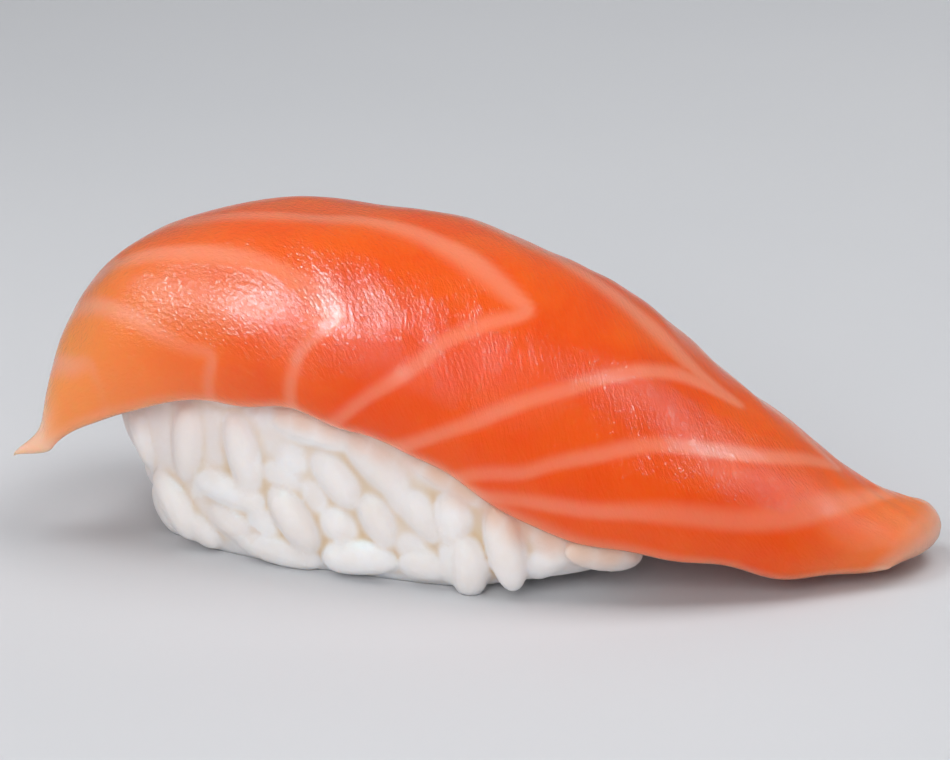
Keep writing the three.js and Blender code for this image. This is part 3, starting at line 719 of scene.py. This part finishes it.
def make_salmon():
    """The slice as one closed mesh, with relief on its top face and uneven edges."""
    s, v = (grid.ravel() for grid in slice_grid(SLICE_ROWS, SLICE_COLUMNS))
    half = thickness_at(s, v) / 2
    top, bottom, fat = slice_faces(middle_point(s, v), middle_normal(s, v), half, s, v)

    # The two faces share the grid's border, where the slice has no thickness
    index = np.arange(len(top)).reshape(SLICE_ROWS + 1, SLICE_COLUMNS + 1)
    border = np.zeros_like(index, bool)
    border[[0, -1]] = True
    border[:, [0, -1]] = True
    inside = ~border.ravel()
    lower = np.where(border, index, 0)
    lower[~border] = len(top) + np.arange(inside.sum())
    points = np.concatenate([top, bottom[inside]])
    faces = grid_faces(SLICE_ROWS, SLICE_COLUMNS)
    under = lower.ravel()[faces][:, ::-1]
    salmon = mesh_object("salmon_slice", points, np.concatenate([faces, under]).tolist())

    thin, edge_sheen = slice_tints(s, v)
    fields = {
        "fat": fat,
        "thin": thin,
        "edge_sheen": edge_sheen,
        "across": fibre_across(s, v),
        "along": s * SLICE_SPAN[0],
    }
    for name, values in fields.items():
        add_attribute(salmon, name, np.concatenate([values, values[inside]]))
    salmon.data.materials.append(salmon_material())
    return salmon


# ---- The block of rice ----


def reach_at(side, z):
    """Half size of one side of the block at height z."""
    foot = np.clip(1 - z / side["foot_rise"], 0, 1)
    top = np.clip((z - RICE_TOP + side["top_rise"]) / side["top_rise"], 0, 1)
    return (
        side["reach"]
        - side["foot_inset"] * foot ** side["foot_power"]
        - side["top_inset"] * (1 - np.sqrt(1 - top ** 2))
    )


def outline_point(angle, z, inset=0.0):
    """Point of the grains' outline at an angle round the block and a height."""
    end = RICE_TAIL_END if math.cos(angle) > 0 else RICE_THIN_END

    def squared(x):
        return math.copysign(abs(x) ** RICE_SQUARENESS, x)

    x = RICE_CENTRE[0] + (reach_at(end, z) - inset) * squared(math.cos(angle))
    y = RICE_CENTRE[1] + (reach_at(RICE_SIDE, z) - inset) * squared(math.sin(angle))
    return np.array([x, y, z])


def unit(vector):
    return vector / np.linalg.norm(vector)


def grain_on_outline(angle, z, slope, depth, size):
    """A grain lying on the outline, sunk by its half thickness and `depth`."""
    step = 1e-3
    point = outline_point(angle, z)
    around = unit(outline_point(angle + step, z) - outline_point(angle - step, z))
    rise = unit(outline_point(angle, z + step) - outline_point(angle, max(z - step, 0)))
    outwards = unit(np.cross(around, rise))
    turn = math.radians(slope)
    up = unit(np.cross(outwards, around))
    thickness = GRAIN["thickness"] * size
    return {
        "middle": point + outwards * (-thickness / 2 - depth),
        "axis": around * math.cos(turn) - up * math.sin(turn),
        "outwards": outwards,
        "length": GRAIN["length"] * size,
        "width": GRAIN["width"] * size,
        "thickness": thickness,
    }


def near_angle(x, z):
    """Angle round the near side of the block at which its outline lies at x."""
    end = RICE_TAIL_END if x > RICE_CENTRE[0] else RICE_THIN_END
    share = (x - RICE_CENTRE[0]) / reach_at(end, z)
    share = float(np.clip(share, -NEAR_SIDE_END, NEAR_SIDE_END))
    return -math.acos(math.copysign(abs(share) ** (1 / RICE_SQUARENESS), share))


def slice_samples():
    """Points of the slice's middle surface that a grain is kept clear of."""
    s, v = (grid.ravel() for grid in slice_grid(CAD_ROWS, CAD_COLUMNS))
    return middle_point(s, v), middle_normal(s, v), thickness_at(s, v) / 2


def fitted_grain(grain, samples, overlap_allowed=PRESS):
    """The grain moved out of the slice, else shortened, else None."""
    points, normals, halves = samples
    for length in (grain["length"], grain["length"] * LEAST_LENGTH):
        middle = grain["middle"].copy()
        for _ in range(MOVE_STEPS):
            depth = 0.0
            way_out = None
            for share, radius_share in PROBES:
                probe = middle + grain["axis"] * share * length
                radius = grain["thickness"] * radius_share
                overlap = halves + radius - np.linalg.norm(points - probe, axis=1)
                worst = overlap.argmax()
                if overlap[worst] > depth:
                    depth = overlap[worst]
                    way_out = -normals[worst]
            if depth < overlap_allowed:
                return {**grain, "length": length, "middle": middle}
            middle = middle + way_out * depth
    return None


def axis_points(grain):
    shares = np.array(AXIS_SHARES)[:, None]
    return grain["middle"] + grain["axis"] * shares * grain["length"]


def far_angles():
    """Function from a share of the way round the far side and the ends to the angle there."""
    angles = np.linspace(*FAR_ANGLES, 2000)
    points = np.array([outline_point(angle, FAR_LEVEL) for angle in angles])
    way = np.concatenate([[0], np.cumsum(np.linalg.norm(np.diff(points, axis=0), axis=1))])
    shares = way / way[-1]
    return lambda share: np.interp(share, shares, angles)


def near_grains(samples):
    """The grains that stand out on the near side, clear of the slice."""
    fitted = []
    for x, z, slope, length, depth in NEAR_GRAINS:
        grain = grain_on_outline(near_angle(x, z), z, slope, depth, 1.0)
        grain["length"] = length
        fitted.append(fitted_grain(grain, samples, NEAR_PRESS))
    return [grain for grain in fitted if grain is not None]


def scatter(placed, samples, rounds, draws, angle_at):
    """Adds scattered grains to those placed, each at a free place and clear of the slice."""
    others = np.concatenate([axis_points(grain) for grain in placed])
    lowest, highest = GRAIN_HEIGHTS
    for count, spacing, share, least_depth in rounds:
        for _ in range(count):
            angle = angle_at(next(draws))
            z = lowest + (highest - lowest) * next(draws)
            slope = 180 * next(draws)
            depth = least_depth + DEPTH_RANGE * next(draws)
            size = LEAST_SIZE + SIZE_RANGE * next(draws)
            for turn in range(SLOPE_TRIES):
                grain = grain_on_outline(angle, z, slope + 180 * turn / SLOPE_TRIES, depth, size)
                grain["length"] *= share
                apart = np.linalg.norm(axis_points(grain)[:, None] - others, axis=-1).min()
                fitted = fitted_grain(grain, samples) if apart > spacing else None
                if fitted is not None:
                    placed.append(fitted)
                    others = np.concatenate([others, axis_points(fitted)])
                    break


def place_grains():
    """The grains of the near side, then those of the far side and the ends, then all round."""
    samples = slice_samples()
    placed = near_grains(samples)
    scatter(placed, samples, FAR_SCATTER, random_draws(FAR_SEED), far_angles())
    scatter(placed, samples, SCATTER, random_draws(SCATTER_SEED), lambda turn: 2 * math.pi * turn)
    return placed


def grain_mesh(grain, random):
    """Points and faces of one plump grain, slightly bent and tapered."""
    along = np.cos(np.linspace(math.pi, 0, GRAIN_RINGS))
    turn = np.linspace(0, 2 * math.pi, GRAIN_SIDES, endpoint=False)
    taper = 1 + TAPER * random.uniform(-1, 1) * along
    radius = np.sqrt(np.clip(1 - np.abs(along) ** BLUNTNESS, 0, 1)) * taper
    t, a = np.meshgrid(along[1:-1], turn, indexing="ij")
    r = radius[1:-1, None] * np.ones_like(t)
    half = np.array([grain["width"] * PLUMPNESS, grain["length"], grain["thickness"]]) / 2
    body = np.stack([r * np.cos(a), t, r * np.sin(a)], -1).reshape(-1, 3)
    points = np.concatenate([[[0, -1.0, 0]], body, [[0, 1.0, 0]]]) * half
    curve = (points[:, 1] / half[1]) ** 2 - BEND_MIDDLE
    points[:, 0] += random.uniform(*BEND) * curve
    points[:, 2] += random.uniform(*SAG) * curve
    side = unit(np.cross(grain["axis"], grain["outwards"]))
    third = np.cross(side, grain["axis"])
    points = points @ np.array([side, grain["axis"], third]) + grain["middle"]
    rings = GRAIN_RINGS - 2
    faces = []
    last = 1 + rings * GRAIN_SIDES
    for j in range(GRAIN_SIDES):
        k = (j + 1) % GRAIN_SIDES
        faces.append((0, 1 + j, 1 + k))
        faces.append((last, last - GRAIN_SIDES + k, last - GRAIN_SIDES + j))
        for i in range(rings - 1):
            a0 = 1 + i * GRAIN_SIDES
            faces.append((a0 + j, a0 + GRAIN_SIDES + j, a0 + GRAIN_SIDES + k, a0 + k))
    return points, faces


def underside_tree(flat):
    """Samples of the slice's underside with a search tree over them, seen from above if `flat`."""
    middles, normals, halves = slice_samples()
    underside = middles - normals * halves[:, None]
    tree = KDTree(len(underside))
    for i, point in enumerate(underside):
        tree.insert((point[0], point[1], 0.0 if flat else point[2]), i)
    tree.balance()
    return underside, tree


def core_mesh():
    """Points and faces of the bare block inside the grains, kept under the slice."""
    points = []
    for z in np.linspace(0, RICE_TOP, RICE_RINGS + 1):
        inset = FILL_INSET + FILL_FOOT["inset"] * max(1 - z / FILL_FOOT["rise"], 0)
        for j in range(RICE_RING_POINTS):
            points.append(outline_point(2 * math.pi * j / RICE_RING_POINTS, z, inset))
    points.append(np.array([*RICE_CENTRE, 0.0]))
    points.append(np.array([*RICE_CENTRE, RICE_TOP]))
    underside, tree = underside_tree(flat=True)
    for point in points:
        roof = underside[tree.find((point[0], point[1], 0.0))[1]][2]
        point[2] = max(min(point[2], roof - CORE_CLEARANCE), 0.0)
    foot = len(points) - 2
    faces = []
    for j in range(RICE_RING_POINTS):
        k = (j + 1) % RICE_RING_POINTS
        faces.append((foot, k, j))
        top = RICE_RINGS * RICE_RING_POINTS
        faces.append((foot + 1, top + j, top + k))
        for i in range(RICE_RINGS):
            a0 = i * RICE_RING_POINTS
            b0 = a0 + RICE_RING_POINTS
            faces.append((a0 + j, a0 + k, b0 + k, b0 + j))
    return np.array(points), faces


def hollowness(mesh, points):
    """Each vertex's normal, and its depth in mm in a gap between grains, below 0 on a grain."""
    normals = np.empty(len(points) * 3)
    mesh.vertices.foreach_get("normal", normals)
    normals = normals.reshape(-1, 3)
    edges = np.empty(len(mesh.edges) * 2, int)
    mesh.edges.foreach_get("vertices", edges)
    first, second = edges.reshape(-1, 2).T
    count = np.bincount(edges, minlength=len(points))
    smoothed = points
    for _ in range(GAP_STEPS):
        total = [
            np.bincount(first, smoothed[second, axis], len(points))
            + np.bincount(second, smoothed[first, axis], len(points))
            for axis in range(3)
        ]
        smoothed = np.stack(total, -1) / count[:, None]
    return normals, ((smoothed - points) * normals).sum(-1)


def grain_tones(grains, points, random):
    """A tone from 0 to 1 for each vertex, the same all over one grain."""
    tones = random.uniform(0, 1, len(grains))
    tree = KDTree(len(grains) * len(AXIS_SHARES))
    for i, grain in enumerate(grains):
        for point in axis_points(grain):
            tree.insert(point, i)
    tree.balance()
    return np.array([tones[tree.find(point)[1]] for point in points])


def nearness_to_slice(points):
    """1 where the rice touches the slice, falling to 0 away from it."""
    tree = underside_tree(flat=False)[1]
    distance = np.array([tree.find(point)[2] for point in points])
    return smooth_step(*SLICE_SHADE_REACH, distance)


def make_rice():
    """The grains and their core, joined into one moist heap."""
    random = np.random.default_rng(SHAPE_SEED)
    points, faces = core_mesh()
    all_points = [points]
    all_faces = list(faces)
    total = len(points)
    grains = place_grains()
    for grain in grains:
        points, faces = grain_mesh(grain, random)
        all_points.append(points)
        all_faces += [tuple(i + total for i in face) for face in faces]
        total += len(points)
    heap = mesh_object("rice_heap", np.concatenate(all_points) / MM, all_faces)
    # The heap is in mm here, and becomes metres once it is fused
    remesh = heap.modifiers.new("remesh", "REMESH")
    remesh.mode = "VOXEL"
    remesh.voxel_size = HEAP_VOXEL
    smooth = heap.modifiers.new("smooth", "SMOOTH")
    smooth.factor = 0.5
    smooth.iterations = HEAP_SMOOTHING
    evaluated = heap.evaluated_get(bpy.context.evaluated_depsgraph_get())
    fused = bpy.data.meshes.new_from_object(evaluated)
    heap.modifiers.clear()
    heap.data = fused
    co = np.empty(len(fused.vertices) * 3)
    fused.vertices.foreach_get("co", co)
    co = co.reshape(-1, 3)
    normals, depth = hollowness(fused, co)
    tone = grain_tones(grains, co, random)
    co = co + normals * (GAP_FILL * np.maximum(depth, 0))[:, None]
    co[:, 2] = np.maximum(co[:, 2], 0)
    # where the painted shade and bounce light of the slice fall on the rice
    under = nearness_to_slice(co)
    fused.vertices.foreach_set("co", (co * MM).ravel())
    fused.polygons.foreach_set("use_smooth", [True] * len(fused.polygons))
    fused.update()
    # the gap attribute carries the painted shade in the gaps between the grains
    add_attribute(heap, "gap", smooth_step(*GAP_DEPTH, depth))
    add_attribute(heap, "tone", tone)
    # the under attribute carries the painted shade and bounce light of the slice
    add_attribute(heap, "under", under)
    heap.data.materials.append(rice_material())
    return heap


# ---- The studio ----


def make_floor():
    corners = [(x * FLOOR_REACH, y * FLOOR_REACH, 0) for x, y in ((-1, -1), (1, -1), (1, 1), (-1, 1))]
    floor = mesh_object("studio_floor", corners, [(0, 1, 2, 3)])
    floor.data.materials.append(floor_material())


def direction(azimuth, elevation):
    """Unit vector from the object: azimuth 0 is -Y, the near side, and 90 is +X."""
    a = math.radians(azimuth)
    e = math.radians(elevation)
    return Vector((math.sin(a) * math.cos(e), -math.cos(a) * math.cos(e), math.sin(e)))


def soft_light(name, place, size, power):
    """A soft box that faces the object, at an azimuth, an elevation and a distance in mm."""
    data = bpy.data.lights.new(name, "AREA")
    data.shape = "RECTANGLE"
    data.size = size[0] * MM
    data.size_y = size[1] * MM
    data.energy = power
    light = bpy.data.objects.new(name, data)
    azimuth, elevation, distance = place
    towards = direction(azimuth, elevation)
    light.location = (Vector(LIT_POINT) + towards * distance) * MM
    light.rotation_mode = "QUATERNION"
    light.rotation_quaternion = towards.to_track_quat("Z", "Y")
    bpy.context.scene.collection.objects.link(light)
    return light


def make_lights():
    for name, values in SHADE_LIGHTS.items():
        light = soft_light(name, *values)
        light.visible_glossy = False
    for name, values in GLOSS_LIGHTS.items():
        light = soft_light(name, *values)
        light.data.color = GLOSS_COLOR
        light.visible_diffuse = False
    world = bpy.data.worlds.new("studio")
    world.use_nodes = True
    background = world.node_tree.nodes["Background"]
    background.inputs["Color"].default_value = SKY_COLOR
    background.inputs["Strength"].default_value = SKY_STRENGTH
    bpy.context.scene.world = world


def make_camera():
    data = bpy.data.cameras.new("camera")
    data.sensor_width = SENSOR_WIDTH
    data.lens = VIEW_DISTANCE / MM_PER_PIXEL * SENSOR_WIDTH / PHOTO_WIDTH
    camera = bpy.data.objects.new("camera", data)
    back = direction(VIEW_AZIMUTH, VIEW_ELEVATION)
    camera.location = (Vector(VIEW_TARGET) + back * VIEW_DISTANCE) * MM
    camera.rotation_mode = "QUATERNION"
    camera.rotation_quaternion = back.to_track_quat("Z", "Y")
    bpy.context.scene.collection.objects.link(camera)
    bpy.context.scene.camera = camera


# ---- The nigiri ----

make_camera()
make_lights()
make_floor()

salmon = make_salmon()
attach(salmon, "root")
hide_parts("salmon")

rice = make_rice()
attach(rice, "root")
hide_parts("rice")

bpy.context.scene.view_settings.view_transform = "Standard"
